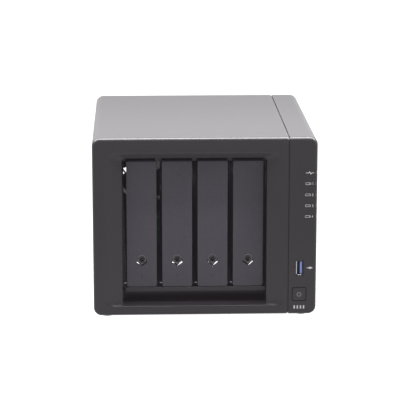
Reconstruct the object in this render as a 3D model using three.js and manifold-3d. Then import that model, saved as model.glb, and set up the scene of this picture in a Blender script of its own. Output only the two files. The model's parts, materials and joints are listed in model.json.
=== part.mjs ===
// A four-bay desktop network storage enclosure, sold without drives.
// Millimetres. +X is to the right as seen from the front, +Y runs to the back and +Z is up.
// The origin is on the ground, under the middle of the case.

import * as THREE from "three";
import { mergeVertices } from "three/addons/utils/BufferGeometryUtils.js";
import Module from "manifold-3d";

const wasm = await Module();
wasm.setup();

// ---------------------------------------------------------------- driving dimensions

const WIDTH = 199;
const HEIGHT = 166;
const DEPTH = 223;
const FOOT_HEIGHT = 4.5;
const WALL = 2.5;
const CORNER_RADIUS = 7;
const FRONT_FILLET = 3;
const GAP = 0.3;

const SIDE = WIDTH / 2;
const FRONT = -DEPTH / 2;
const BACK = DEPTH / 2;
const FLOOR = FOOT_HEIGHT + WALL;
const CEILING = HEIGHT - WALL;

// The right-hand strip with the controls is a shell of its own, right of this seam.
const SEAM_X = 74.5;
const SEAM_GAP = 0.4;
const SEAM_ROUND = { width: 3.2, depth: 0.7 };
const SEAM_LIP = { depth: 1.3, reach: 2 };

// Sloping frame around the four trays. Its outer edge is eased over the front face.
const RECESS = { left: -89.7, right: 71.6, bottom: 13.3, top: 153, radius: 8 };
const WINDOW = { left: -73.6, right: 55.1, bottom: 13.3, top: 147.1, radius: 3 };
const WINDOW_Y = FRONT + 5;
const FRAME_WALL = 2.2;
const RECESS_EASE = { out: 2.4, in: 0.22 };
const SCOOP = { back: FRONT + 26, radius: 7 };

// Trays stand side by side; each carries one 3.5 inch drive on its edge.
const BAY_COUNT = 4;
const BAY_PITCH = 31.7;
const BAY_CENTRE_X = -8.65;
const DRIVE = { height: 101.6, length: 147, front: -86, play: 0.4 };
const RAIL = 5;
const TRAY_BOTTOM = 29.2;
const TRAY_TOP = TRAY_BOTTOM + RAIL + DRIVE.height + DRIVE.play + RAIL;
const TRAY_SPAN = { bottom: TRAY_BOTTOM, top: TRAY_TOP, front: -90.5, back: 55 };
const TRAY = { ...TRAY_SPAN, half: 13.2, rail: RAIL, skin: 1.5 };
const HANDLE = { half: 13.35, bottom: 27.5, top: 143.3, front: -98, back: -91, wall: 1.5 };
const HINGE = { y: -93.2, z: 138.8, pin: 1 };
const LOCK = { z: 52.6, radius: 3.3, socket: 2.1, depth: 1.6, boss: 7.4 };
const LOCK_MOUTH = { round: 4.2, wing: 4.9, shoulder: 2.6, tip: 6.3 };
const LOCK_FLOOR = { round: 3.7, wing: 4, shoulder: 1.6, tip: 4.4 };
const GUIDE_PINS = [-57, 44];
const TRAY_WINDOWS = { count: 5, first: -72, pitch: 28, half: 9, margin: 14 };
const HANDLE_WINDOWS = [[40, 78], [88, 126]];
const EARS = { xs: [-8.5, 8.5], half: 1.5, radius: 2.4 };
const STRIP = { half: 6, front: -66, back: 52, thickness: 1.5, studs: 1.4 };

// Steel cage that the trays slide in.
const CAGE = { left: -74.9, right: 57.6, front: -86, back: 70, sheet: 1.5, floor: 26, ceiling: 144 };
const CAGE_LEGS = { ys: [-50, 58], length: 10 };
const CAGE_RIB = { out: 0.5, reach: 3.5, clear: 0.5 };
const CAGE_WINDOWS = { count: 5, first: -63, pitch: 28, half: 10.5, margin: 13.5 };
const SILL = { left: -71, right: 55, front: -98.4, back: -86.3, bottom: 23.2, top: 27.2 };

// Boards, chassis floor and rear panel.
const PANEL = { front: 107.5, back: 108.7, inset: 3, corner: 4 };
const BOARD = 1.6;
const CHASSIS = { half: 94, front: -84, back: 106, bottom: FLOOR + GAP, sheet: 1.2 };
const STANDOFFS = [[-64, 10], [-64, 100], [88, 4], [88, 88]];
const DRAINS = { count: 9, first: -64, pitch: 16, half: 4, front: -60, back: -24 };
const MAINBOARD = { left: -70, right: 94, front: -8, back: PANEL.front - 1, bottom: 12 };
const BOARD_TOP = MAINBOARD.bottom + BOARD + GAP;
const HEATSINK = { left: 64, front: 16, back: 60, base: 3, height: 24, fins: 8, pitch: 3.7, fin: 1.1 };
const BACKPLANE_Y = DRIVE.front + DRIVE.length + 5;
const BACKPLANE = { bottom: 26.5, top: 143.5, air: { half: 7, bottom: 58, top: 136 } };
const DRIVE_SOCKET = { half: 3, depth: 4.4, bottom: 36, top: 79, slots: [[38, 60], [64, 77]] };
const CONTROL_BOARD = { y: FRONT + 10, left: 76, right: 96, bottom: 12, top: 140 };
const CABLE = { x: 92, z: 20, thickness: 1.2, width: 10 };

const FAN = { size: 92, depth: 25, bore: 44.5, x: 46.6, z: 110, hub: 17, front: 82.2, screws: 41.25 };
const GRILLE = { rings: [[13.5, 18.5], [20.2, 25.2], [26.9, 31.9], [33.6, 40]], bridge: 2.4, quarters: 4 };
const AIR_SLOTS = { count: 12, first: -52, pitch: 8, half: 2, bottom: 36, top: 47 };
const FEET = { x: 87.5, front: -90.5, back: 92, radius: 6.5, height: 4.2 };
const PANEL_SCREW = { x: 86, low: 10.6, high: 160.8, head: 2.5, shank: 1.3, tip: 97 };
const BOSS = { radius: 3.8, bore: 1.7, front: 95 };

const POWER = { x: 84.2, z: 23.1, size: 12 };
const FRONT_USB = { x: 84.45, z: 47.4, width: 6.6, height: 13.9 };
const LAMP = { x: 98.1, half: 1.2, depth: 4.2, heights: [134, 124.3, 114.2, 104.3, 94.5] };

// Everything on the back, by the middle of its opening.
const LAN = { xs: [-30, -10], width: 16, height: 13.5, depth: 21 };
const REAR_USB = { x: 12, width: 13.2, height: 5.8, depth: 15 };
const DC_INLET = { x: -58, size: 14, bore: 5 };
const RESET = { x: 30, z: 18, radius: 1.1 };
const CABLE_LOCK = { x: 70, z: 24, width: 7, height: 3 };

const SHELL_VENTS = { count: 13, pitch: 9, width: 3, middle: 12, bottom: 62, top: 108 };

// ---------------------------------------------------------------- solids

function toSolid(geometry) {
  const plain = geometry.clone();
  plain.deleteAttribute("normal");
  plain.deleteAttribute("uv");
  const merged = mergeVertices(plain, 1e-4);
  const mesh = new wasm.Mesh({
    numProp: 3,
    vertProperties: new Float32Array(merged.attributes.position.array),
    triVerts: new Uint32Array(merged.index.array),
  });
  return new wasm.Manifold(mesh);
}

function toGeometry(solid) {
  const mesh = solid.getMesh();
  const geometry = new THREE.BufferGeometry();
  geometry.setAttribute("position", new THREE.BufferAttribute(mesh.vertProperties, 3));
  geometry.setIndex(new THREE.BufferAttribute(mesh.triVerts, 1));
  geometry.computeVertexNormals();
  return geometry;
}

const join = (solids) => solids.reduce((sum, solid) => sum.add(solid));
const cut = (solid, tools) => tools.reduce((rest, tool) => rest.subtract(tool), solid);
const each = (count, make) => Array.from({ length: count }, (_, index) => make(index));

function block([x0, x1], [y0, y1], [z0, z1]) {
  const geometry = new THREE.BoxGeometry(x1 - x0, y1 - y0, z1 - z0);
  return toSolid(geometry.translate((x0 + x1) / 2, (y0 + y1) / 2, (z0 + z1) / 2));
}

function rod(axis, radius, [start, end], [a, b], sides = 16) {
  const geometry = new THREE.CylinderGeometry(radius, radius, end - start, sides);
  const middle = (start + end) / 2;
  if (axis === "x") geometry.rotateZ(-Math.PI / 2).translate(middle, a, b);
  if (axis === "y") geometry.translate(a, middle, b);
  if (axis === "z") geometry.rotateX(Math.PI / 2).translate(a, b, middle);
  return toSolid(geometry);
}

// Each arc of a shape is drawn with twice this number of steps.
function extrude(shape, depth, steps) {
  return new THREE.ExtrudeGeometry(shape, { depth, bevelEnabled: false, curveSegments: steps });
}

// Outlines across Y hold x and z, outlines across X hold y and z.
function alongY(shape, [y0, y1], steps = 1) {
  return toSolid(extrude(shape, y1 - y0, steps).rotateX(Math.PI / 2).translate(0, y1, 0));
}

function alongX(shape, [x0, x1], steps = 1) {
  const turn = new THREE.Matrix4().makeBasis(
    new THREE.Vector3(0, 1, 0),
    new THREE.Vector3(0, 0, 1),
    new THREE.Vector3(1, 0, 0),
  );
  return toSolid(extrude(shape, x1 - x0, steps).applyMatrix4(turn).translate(x0, 0, 0));
}

function roundedRect([u0, u1], [v0, v1], radius) {
  const shape = new THREE.Shape();
  shape.absarc(u1 - radius, v0 + radius, radius, -Math.PI / 2, 0);
  shape.absarc(u1 - radius, v1 - radius, radius, 0, Math.PI / 2);
  shape.absarc(u0 + radius, v1 - radius, radius, Math.PI / 2, Math.PI);
  shape.absarc(u0 + radius, v0 + radius, radius, Math.PI, Math.PI * 1.5);
  shape.closePath();
  return shape;
}

function polygon(points) {
  return new THREE.Shape(points.map(([u, v]) => new THREE.Vector2(u, v)));
}

// A closed solid through convex sections that share one number of points.
function loft(sections) {
  const count = sections[0].length;
  const last = sections.length - 1;
  const positions = sections.flat().flatMap((point) => [point.x, point.y, point.z]);
  const index = [];
  for (let k = 0; k < last; k += 1) {
    for (let i = 0; i < count; i += 1) {
      const next = (i + 1) % count;
      const [a, b] = [k * count + i, k * count + next];
      index.push(a, b, b + count, a, b + count, a + count);
    }
  }
  for (let i = 1; i < count - 1; i += 1) {
    index.push(0, i + 1, i);
    index.push(last * count, last * count + i, last * count + i + 1);
  }
  const geometry = new THREE.BufferGeometry();
  geometry.setAttribute("position", new THREE.Float32BufferAttribute(positions, 3));
  geometry.setIndex(index);
  return toSolid(geometry);
}

function outlinePoints({ left, right, bottom, top, radius }, steps) {
  const outline = roundedRect([left, right], [bottom, top], radius).getPoints(steps);
  const open = outline.filter((point, i) => i === 0 || point.distanceTo(outline[i - 1]) > 1e-6);
  if (open[0].distanceTo(open[open.length - 1]) < 1e-6) open.pop();
  return open;
}

// Sections for a loft that runs along Y, or along X with left and right along Y.
function sectionAt(y, outline, steps = 3) {
  return outlinePoints(outline, steps).map((point) => new THREE.Vector3(point.x, y, point.y)).reverse();
}

function sectionAcross(x, outline, steps = 3) {
  return outlinePoints(outline, steps).map((point) => new THREE.Vector3(x, point.x, point.y));
}

// ---------------------------------------------------------------- outer shells

function caseOutline(inset) {
  return {
    left: -SIDE + inset,
    right: SIDE - inset,
    bottom: FOOT_HEIGHT + inset,
    top: HEIGHT - inset,
    radius: Math.max(CORNER_RADIUS - inset, 1),
  };
}

// The whole case as one solid block with a rounded front edge.
function caseForm(inset = 0) {
  const steps = 5;
  const rounded = each(steps + 1, (k) => {
    const angle = (k / steps) * (Math.PI / 2);
    const y = FRONT + inset + FRONT_FILLET * (1 - Math.sin(angle));
    return sectionAt(y, caseOutline(inset + FRONT_FILLET * (1 - Math.cos(angle))));
  });
  return loft([...rounded.reverse(), sectionAt(BACK, caseOutline(inset))]);
}

function caseCavity() {
  return loft([sectionAt(FRONT + WALL, caseOutline(WALL)), sectionAt(BACK + 1, caseOutline(WALL))]);
}

function grown({ left, right, bottom, top, radius }, by) {
  const edges = { left: left - by, right: right + by, bottom: bottom - by, top: top + by };
  return { ...edges, radius: radius + by };
}

const between = (a, b, share) => a + (b - a) * share;

// Outline of the sloping frame, from its outer edge at 0 to the window at 1.
function slopeOutline(share, growth) {
  const mixed = Object.keys(RECESS).map((key) => [key, between(RECESS[key], WINDOW[key], share)]);
  return grown(Object.fromEntries(mixed), growth);
}

// The sloping frame's outside, behind the front face.
function recessOutside(wall) {
  return loft([
    sectionAt(FRONT + 1, slopeOutline(0, wall), 2),
    sectionAt(WINDOW_Y + 2, slopeOutline(1, wall), 2),
  ]);
}

// The sloping frame's hollow: an eased edge, then a straight slope down to the window.
function recessHollow() {
  const steps = 5;
  const eased = each(steps + 1, (k) => {
    const t = k / steps;
    const share = RECESS_EASE.in * t * t;
    const y = between(FRONT, WINDOW_Y, share) - (k === 0 ? 0.001 : 0);
    return sectionAt(y, slopeOutline(share, RECESS_EASE.out * (1 - t) ** 2), 2);
  });
  const mouth = sectionAt(FRONT - 1, slopeOutline(0, RECESS_EASE.out), 2);
  return loft([mouth, ...eased, sectionAt(WINDOW_Y, slopeOutline(1, 0), 2)]);
}

// Everything left of the seam, with its edge rolled over towards the seam.
function leftOfSeam() {
  const edge = SEAM_X - SEAM_GAP / 2;
  const outline = (inset) => ({
    left: FRONT + inset,
    right: BACK + 10,
    bottom: FOOT_HEIGHT + inset,
    top: HEIGHT - inset,
    radius: FRONT_FILLET,
  });
  const steps = 4;
  const rolled = each(steps + 1, (k) => {
    const angle = (k / steps) * (Math.PI / 2);
    const x = edge - SEAM_ROUND.width * (1 - Math.sin(angle));
    return sectionAcross(x, outline(SEAM_ROUND.depth * (1 - Math.cos(angle))), 2);
  });
  return loft([sectionAcross(-SIDE - 1, outline(0), 2), ...rolled]);
}

// The inner part of the case from a little left of the seam to its reach past the seam.
function seamBand(depth, reach) {
  return caseForm(depth).intersect(block([SEAM_X - 2, SEAM_X + reach], [FRONT - 1, BACK + 1], [0, HEIGHT]));
}

function sideVents(x) {
  const { count, pitch, width, middle, bottom, top } = SHELL_VENTS;
  return each(count, (i) => {
    const y = middle + (i - (count - 1) / 2) * pitch;
    return block([x - 6, x + 6], [y - width / 2, y + width / 2], [bottom, top]);
  });
}

function screwBosses(x) {
  const heights = [PANEL_SCREW.low, PANEL_SCREW.high];
  const bosses = heights.map((z) => rod("y", BOSS.radius, [BOSS.front, PANEL.front - GAP], [x, z], 12));
  const bores = heights.map((z) => rod("y", BOSS.bore, [BOSS.front - 1, PANEL.front + 1], [x, z], 8));
  return { bosses, bores };
}

function leftShell() {
  const wall = FRAME_WALL;
  const tub = block(
    [WINDOW.left - wall, WINDOW.right + wall],
    [WINDOW_Y - 1, SCOOP.back + wall],
    [WINDOW.bottom - wall, SILL.bottom - GAP],
  );
  const scoop = alongX(
    roundedRect([WINDOW_Y - SCOOP.radius, SCOOP.back], [WINDOW.bottom, SILL.bottom + 5], SCOOP.radius),
    [WINDOW.left, WINDOW.right],
    2,
  );
  const opening = alongY(
    roundedRect([WINDOW.left, WINDOW.right], [WINDOW.bottom + 0.001, WINDOW.top], WINDOW.radius),
    [WINDOW_Y - 0.5, WINDOW_Y + 4],
    2,
  );
  const { bosses, bores } = screwBosses(-PANEL_SCREW.x);
  const left = leftOfSeam();
  const outside = caseForm().intersect(left);
  const frame = recessOutside(wall).add(tub).intersect(left);
  const lip = cut(seamBand(SEAM_LIP.depth, SEAM_LIP.reach), [caseCavity()]);
  const body = join([cut(outside, [caseCavity()]), frame, lip, ...bosses]).intersect(caseForm());
  return cut(body, [recessHollow(), scoop, opening, ...bores, ...sideVents(-SIDE)]);
}

function rightShell() {
  const keep = block([SEAM_X + SEAM_GAP / 2, SIDE + 1], [FRONT - 1, BACK + 1], [0, HEIGHT + 1]);
  const half = POWER.size / 2 + 0.5;
  const powerHole = roundedRect([POWER.x - half, POWER.x + half], [POWER.z - half, POWER.z + half], 1.8);
  const usbHole = block(
    [FRONT_USB.x - FRONT_USB.width / 2 - GAP, FRONT_USB.x + FRONT_USB.width / 2 + GAP],
    [FRONT - 1, FRONT + 6],
    [FRONT_USB.z - FRONT_USB.height / 2 - GAP, FRONT_USB.z + FRONT_USB.height / 2 + GAP],
  );
  const room = LAMP.half + GAP;
  const lampHoles = LAMP.heights.map((z) => (
    block([LAMP.x - room + 0.1, SIDE + 1], [FRONT - 1, FRONT + LAMP.depth + GAP], [z - room, z + room])
  ));
  const { bosses, bores } = screwBosses(PANEL_SCREW.x);
  const outside = caseForm().intersect(keep);
  const body = join([cut(outside, [caseCavity()]), ...bosses]).intersect(caseForm());
  const button = alongY(powerHole, [FRONT - 1, FRONT + 6]);
  const rebate = seamBand(SEAM_LIP.depth - GAP, SEAM_LIP.reach + GAP);
  return cut(body, [rebate, button, usbHole, ...lampHoles, ...bores, ...sideVents(SIDE)]);
}

// Steel floor of the chassis, with standoffs for the main board.
function chassisBase() {
  const { half, front, back, bottom, sheet } = CHASSIS;
  const through = [bottom - 1, bottom + sheet + 1];
  const plate = block([-half, half], [front, back], [bottom, bottom + sheet]);
  const standoffs = STANDOFFS.map(([x, y]) => rod("z", 3, [bottom, MAINBOARD.bottom - GAP], [x, y], 10));
  const notches = [-1, 1].map((side) => {
    const x = side * PANEL_SCREW.x;
    return block([x - BOSS.radius - 1.2, x + BOSS.radius + 1.2], [BOSS.front - 2, back + 1], through);
  });
  const drains = each(DRAINS.count, (i) => {
    const x = DRAINS.first + i * DRAINS.pitch;
    return block([x - DRAINS.half, x + DRAINS.half], [DRAINS.front, DRAINS.back], through);
  });
  return cut(join([plate, ...standoffs]), [...notches, ...drains]);
}

function foot() {
  const { radius, height } = FEET;
  const edge = [[radius - 1.5, 0], [radius - 0.3, 0.6], [radius, 1.6], [radius, height]];
  const profile = [[0, 0], ...edge, [0, height]];
  const points = profile.map(([r, z]) => new THREE.Vector2(r, z));
  return toSolid(new THREE.LatheGeometry(points, 16).rotateX(Math.PI / 2));
}

// ---------------------------------------------------------------- drive cage and trays

const bayX = (bay) => BAY_CENTRE_X + (bay - (BAY_COUNT - 1) / 2) * BAY_PITCH;

// Sheet-steel cage: a floor and a ceiling with guide ribs, and two windowed walls on legs.
function driveCage() {
  const { left, right, front, back, sheet, floor, ceiling } = CAGE;
  const { out, reach, clear } = CAGE_RIB;
  const ribEnd = BACKPLANE_Y - 1;
  const ribs = each(BAY_COUNT + 1, (i) => {
    const start = i === 0 ? left + sheet : bayX(i - 1) + TRAY.half + clear;
    const end = i === BAY_COUNT ? right - sheet : bayX(i) - TRAY.half - clear;
    return [
      block([start, end], [front, ribEnd], [floor - out, floor + reach]),
      block([start, end], [front, ribEnd], [ceiling - reach, ceiling + out]),
    ];
  }).flat();
  const plates = [
    block([left, right], [front, back], [floor - sheet, floor]),
    block([left, right], [front, back], [ceiling, ceiling + sheet]),
  ];
  const walls = [left, right - sheet].map((x) => (
    block([x, x + sheet], [front, back], [floor - sheet, ceiling + sheet])
  ));
  const ground = CHASSIS.bottom + CHASSIS.sheet + GAP;
  const legs = [left, right - sheet].flatMap((x) => CAGE_LEGS.ys.map((y) => (
    block([x, x + sheet], [y, y + CAGE_LEGS.length], [ground, floor])
  )));
  const { count, first, pitch, half, margin } = CAGE_WINDOWS;
  const windows = each(count, (i) => {
    const y = first + i * pitch;
    return block([left - 1, right + 1], [y - half, y + half], [floor + margin, ceiling - margin]);
  });
  return join([cut(join(walls), windows), ...plates, ...ribs, ...legs]);
}

// Dark trim across the cage's front, under the trays.
function sillTrim() {
  const across = [SILL.left, SILL.right];
  const lip = block(across, [SILL.front, SILL.front + 2], [SILL.bottom, SILL.top]);
  const shelf = block(across, [SILL.front, SILL.back], [CAGE.floor - CAGE.sheet, CAGE.floor]);
  return lip.add(shelf);
}

// The tray's own frame: front wall, two rails and the side that the drive lies on.
function tray() {
  const { half, bottom, top, front, back, rail, skin } = TRAY;
  const behindHandle = front + 2.3;
  const shoulder = HINGE.z - 3.3;
  const side = alongX(
    polygon([
      [front, bottom],
      [back, bottom],
      [back, top],
      [behindHandle, top],
      [behindHandle, shoulder],
      [front, shoulder],
    ]),
    [-half, -half + skin],
  );
  const wall = block([-half, half], [front, front + 2.1], [bottom, shoulder]);
  const rails = [[bottom, bottom + rail], [top - rail, top]].map((span) => (
    block([-half, half], [behindHandle, back], span)
  ));
  const web = polygon([
    [front + 0.5, HINGE.z - 14],
    [HINGE.y - 2, HINGE.z - 1.3],
    [HINGE.y + 1.2, HINGE.z + 2],
    [front + 0.5, HINGE.z - 3.6],
  ]);
  const ears = EARS.xs.flatMap((x) => {
    const span = [x - EARS.half, x + EARS.half];
    return [alongX(web, span), rod("x", EARS.radius, span, [HINGE.y, HINGE.z], 12)];
  });
  const sideWindows = each(TRAY_WINDOWS.count, (i) => {
    const y = TRAY_WINDOWS.first + i * TRAY_WINDOWS.pitch;
    const along = [y - TRAY_WINDOWS.half, y + TRAY_WINDOWS.half];
    return block([-half - 1, -half + 3], along, [bottom + TRAY_WINDOWS.margin, top - TRAY_WINDOWS.margin]);
  });
  const wallWindows = HANDLE_WINDOWS.map((span) => (
    block([-9, 9], [front - 1, front + 3], span)
  ));
  const pinHoles = GUIDE_PINS.flatMap((y) => [[bottom - 1, bottom + rail + 1], [top - rail - 1, top + 1]]
    .map((span) => rod("z", 1.7, span, [0, y], 8)));
  const hingeBore = rod("x", HINGE.pin + 0.15, [-half, half], [HINGE.y, HINGE.z], 8);
  return cut(
    join([side, wall, ...rails, ...ears]),
    [...sideWindows, ...wallWindows, ...pinHoles, hingeBore],
  );
}

// Snap-on strip that holds the drive: three studs reach through the rail.
function railStrip(upper) {
  const { bottom, top, rail } = TRAY;
  const { half, front, back, thickness, studs } = STRIP;
  const level = upper ? [top + GAP, top + GAP + thickness] : [bottom - GAP - thickness, bottom - GAP];
  const reach = upper ? [top - rail + 0.2, top + 1] : [bottom - 1, bottom + rail - 0.2];
  const strip = block([-half, half], [front, back], level);
  return join([strip, ...GUIDE_PINS.map((y) => rod("z", studs, reach, [0, y], 8))]);
}

// The whole face of the tray is its handle, open at the back and hinged near its top edge.
function trayHandle() {
  const { half, bottom, top, front, back, wall } = HANDLE;
  const swing = top - HINGE.z;
  const profile = new THREE.Shape();
  profile.moveTo(front, bottom + 0.4);
  profile.lineTo(front + 0.4, bottom);
  profile.lineTo(back, bottom);
  profile.lineTo(back, HINGE.z);
  profile.lineTo(HINGE.y + swing * Math.cos(0.5), HINGE.z + swing * Math.sin(0.5) - 0.1);
  profile.absarc(HINGE.y, HINGE.z, swing, 0.5, Math.PI / 2);
  profile.lineTo(front + 1, top);
  profile.lineTo(front, top - 1);
  const outline = roundedRect([-half, half], [bottom, top], 1.8);
  const solid = alongX(profile, [-half, half], 2).intersect(alongY(outline, [front, back + 5]));
  const hollow = block([-half + wall, half - wall], [front + 2, back + 6], [bottom + wall, top - wall]);
  const backOfTop = block([-half + wall, half - wall], [HINGE.y, back + 6], [HINGE.z - 3, top + 1]);
  const boss = rod("y", LOCK.boss, [front + 1, back], [0, LOCK.z], 16);
  const bore = rod("y", LOCK.radius + 0.25, [front - 1, back + 1], [0, LOCK.z], 16);
  const pinBore = rod("x", HINGE.pin + 0.3, [-half - 1, half + 1], [HINGE.y, HINGE.z], 8);
  return cut(cut(solid, [hollow, backOfTop]).add(boss), [bore, pinBore, lockRecess()]);
}

// Shield-shaped outline around the lock: round above, two wings and a point below.
function lockSection(y, { round, wing, shoulder, tip }) {
  const start = 0.2;
  const steps = 8;
  const arc = each(steps + 1, (i) => {
    const angle = start + (i / steps) * (Math.PI - 2 * start);
    return [round * Math.cos(angle), 0.6 + round * Math.sin(angle)];
  });
  const points = [...arc, [-wing, -shoulder], [0, -tip], [wing, -shoulder]];
  return points.map(([x, z]) => new THREE.Vector3(x, y, LOCK.z + z)).reverse();
}

// The hollow narrows towards its floor, so that two slanted facets show below the lock.
function lockRecess() {
  return loft([
    lockSection(HANDLE.front - 1, LOCK_MOUTH),
    lockSection(HANDLE.front, LOCK_MOUTH),
    lockSection(HANDLE.front + LOCK.depth, LOCK_FLOOR),
  ]);
}

// Round barrel with a round key socket and one rib in it.
function lockBarrel() {
  const face = HANDLE.front + 0.7;
  const barrel = rod("y", LOCK.radius, [face, HANDLE.back - 0.5], [0, LOCK.z], 20);
  const socket = rod("y", LOCK.socket, [face - 1, face + 3], [0, LOCK.z], 16);
  const rib = block([0.5, LOCK.socket + 0.5], [face + 0.5, face + 3.5], [LOCK.z - 0.5, LOCK.z + 0.5]);
  return cut(barrel, [socket]).add(rib);
}

function hingePin() {
  return rod("x", HINGE.pin, [-HANDLE.half + 0.2, HANDLE.half - 0.2], [HINGE.y, HINGE.z], 8);
}

// ---------------------------------------------------------------- fans

function fanFrame() {
  const { size, depth, bore, hub } = FAN;
  const half = size / 2;
  const body = alongY(roundedRect([-half, half], [-half, half], 5), [0, depth]);
  const throat = rod("y", bore, [-1, depth + 1], [0, 0], 36);
  const screwHoles = [-1, 1].flatMap((i) => [-1, 1].map((j) => (
    rod("y", 2.2, [-1, depth + 1], [i * FAN.screws, j * FAN.screws], 8)
  )));
  const belt = [-1, 1].flatMap((i) => [
    block([i > 0 ? half - 4 : -half - 1, i > 0 ? half + 1 : -half + 4], [4, depth - 4], [-30, 30]),
    block([-30, 30], [4, depth - 4], [i > 0 ? half - 4 : -half - 1, i > 0 ? half + 1 : -half + 4]),
  ]);
  const ring = cut(body, [throat, ...screwHoles]);
  const thinned = cut(ring, belt).add(rod("y", bore + 1.2, [0, depth], [0, 0], 36).subtract(throat));
  const motorMount = rod("y", hub, [0, 4], [0, 0], 20);
  const struts = each(3, (i) => {
    const arm = new THREE.BoxGeometry(bore + 1, 3.5, 4).translate((bore + 1) / 2, 1.75, 0);
    return toSolid(arm.rotateY((i / 3) * Math.PI * 2 + 0.4));
  });
  return join([thinned, motorMount, ...struts]);
}

// Seven twisted blades on a round hub that is open towards the motor.
function fanRotor() {
  const { depth, bore, hub } = FAN;
  const bladeSection = (radius, chord, pitch, sweep) => {
    const points = [[-1, -1], [1, -1], [1, 1], [-1, 1]].map(([u, v]) => {
      const along = (u * chord) / 2;
      const across = v * 0.8;
      const x = along * Math.cos(pitch) - across * Math.sin(pitch) + sweep;
      const y = along * Math.sin(pitch) + across * Math.cos(pitch);
      return new THREE.Vector3(x, y + depth / 2 + 2, radius);
    });
    return points;
  };
  const blades = each(7, (i) => {
    const sections = [
      bladeSection(hub - 2, 15, 0.75, 0),
      bladeSection((hub + bore) / 2, 20, 0.6, 1.5),
      bladeSection(bore - 4.7, 23, 0.45, 5),
    ];
    const turn = new THREE.Matrix4().makeRotationY((i / 7) * Math.PI * 2);
    return loft(sections.map((points) => points.map((point) => point.applyMatrix4(turn))));
  });
  const cup = rod("y", hub - 0.5, [4.6, depth - 1.5], [0, 0], 28);
  const hollow = rod("y", hub - 2.5, [4, depth - 4], [0, 0], 12);
  return join([cup, ...blades]).subtract(hollow);
}

// ---------------------------------------------------------------- electronics

function backplane() {
  const { bottom, top, air } = BACKPLANE;
  const [left, right] = [CAGE.left + CAGE.sheet + GAP, CAGE.right - CAGE.sheet - GAP];
  const board = block([left, right], [BACKPLANE_Y, BACKPLANE_Y + BOARD], [bottom, top]);
  const airWindows = each(BAY_COUNT + 1, (gap) => {
    const x = bayX(gap) - BAY_PITCH / 2;
    return block([x - air.half, x + air.half], [BACKPLANE_Y - 1, BACKPLANE_Y + 3], [air.bottom, air.top]);
  });
  return cut(board, airWindows);
}

// Drive socket: power and data contacts share one upright moulding.
function driveSocket() {
  const { half, depth, bottom, top } = DRIVE_SOCKET;
  const body = block([-half, half], [BACKPLANE_Y - depth, BACKPLANE_Y - GAP], [bottom, top]);
  const slots = DRIVE_SOCKET.slots.map((span) => (
    block([-1.2, 1.2], [BACKPLANE_Y - depth - 1, BACKPLANE_Y - 1.5], span)
  ));
  return cut(body, slots);
}

function mainboard() {
  const { left, right, front, back, bottom } = MAINBOARD;
  const through = [bottom - 1, bottom + BOARD + 1];
  const board = block([left, right], [front, back], [bottom, bottom + BOARD]);
  const legY = CAGE_LEGS.ys[1];
  const legSpan = [legY - 2, legY + CAGE_LEGS.length + 2];
  const legClearance = block([CAGE.right - CAGE.sheet - 1.5, CAGE.right + 1.5], legSpan, through);
  const bossSide = PANEL_SCREW.x - BOSS.radius - 1.2;
  const bossNotch = block([bossSide, right + 1], [BOSS.front - 3, back + 1], through);
  return cut(board, [legClearance, bossNotch]);
}

function heatsink() {
  const { left, front, back, base, height, fins, pitch, fin } = HEATSINK;
  const right = left + (fins - 1) * pitch + fin;
  const plate = block([left, right], [front, back], [BOARD_TOP, BOARD_TOP + base]);
  const blades = each(fins, (i) => {
    const x = left + i * pitch;
    return block([x, x + fin], [front, back], [BOARD_TOP + base - 1, BOARD_TOP + height]);
  });
  return join([plate, ...blades]);
}

function lanPort(x) {
  const base = BOARD_TOP;
  const mouth = PANEL.back + 0.4;
  const top = base + LAN.height;
  const shield = block([x - LAN.width / 2, x + LAN.width / 2], [mouth - LAN.depth, mouth], [base, top]);
  const cavity = [
    block([x - 5.95, x + 5.95], [mouth - 14, mouth + 1], [base + 4.2, top - 1]),
    block([x - 3.2, x + 3.2], [mouth - 14, mouth + 1], [base + 2.4, base + 5]),
    block([x - 1.7, x + 1.7], [mouth - 14, mouth + 1], [base + 1, base + 3]),
  ];
  return cut(shield, cavity);
}

function rearUsbPort() {
  const base = BOARD_TOP;
  const { x, width, height, depth } = REAR_USB;
  const mouth = PANEL.back + 0.4;
  const shell = block([x - width / 2, x + width / 2], [mouth - depth, mouth], [base, base + height]);
  const cavity = block(
    [x - width / 2 + 0.5, x + width / 2 - 0.5],
    [mouth - depth + 3, mouth + 1],
    [base + 0.5, base + height - 0.5],
  );
  const tongue = block([x - 5.5, x + 5.5], [mouth - depth + 2, mouth - 1.2], [base + 2.6, base + 4.4]);
  return cut(shell, [cavity]).add(tongue);
}

// Round four-pin inlet for the external power supply.
function dcInlet() {
  const base = BOARD_TOP;
  const { x, size, bore } = DC_INLET;
  const mouth = PANEL.back + 0.4;
  const z = base + size / 2;
  const body = block([x - size / 2, x + size / 2], [mouth - 16, mouth], [base, base + size]);
  const well = rod("y", bore, [mouth - 9, mouth + 1], [x, z], 16);
  const pins = [-1, 1].flatMap((i) => [-1, 1].map((j) => (
    rod("y", 0.6, [mouth - 10, mouth - 3], [x + i * 1.8, z + j * 1.8], 6)
  )));
  return join([cut(body, [well]), ...pins]);
}

function resetButton() {
  const { x, z, radius } = RESET;
  const stem = rod("y", radius, [PANEL.front - 6, PANEL.back - 0.9], [x, z], 12);
  return stem.add(rod("y", 2.4, [PANEL.front - 7, PANEL.front - 4], [x, z], 12));
}

// ---------------------------------------------------------------- rear panel

// One ring of curved slots, part of a fan grille.
function grilleSlots(x, [inner, outer]) {
  const { bridge, quarters } = GRILLE;
  return each(quarters, (i) => {
    const start = (i / quarters) * Math.PI * 2 + bridge / inner;
    const end = ((i + 1) / quarters) * Math.PI * 2;
    const shape = new THREE.Shape();
    shape.absarc(x, FAN.z, outer, start, end, false);
    shape.absarc(x, FAN.z, inner, end, start, true);
    shape.closePath();
    return alongY(shape, [PANEL.front - 1, PANEL.back + 1], 2);
  });
}

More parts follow.
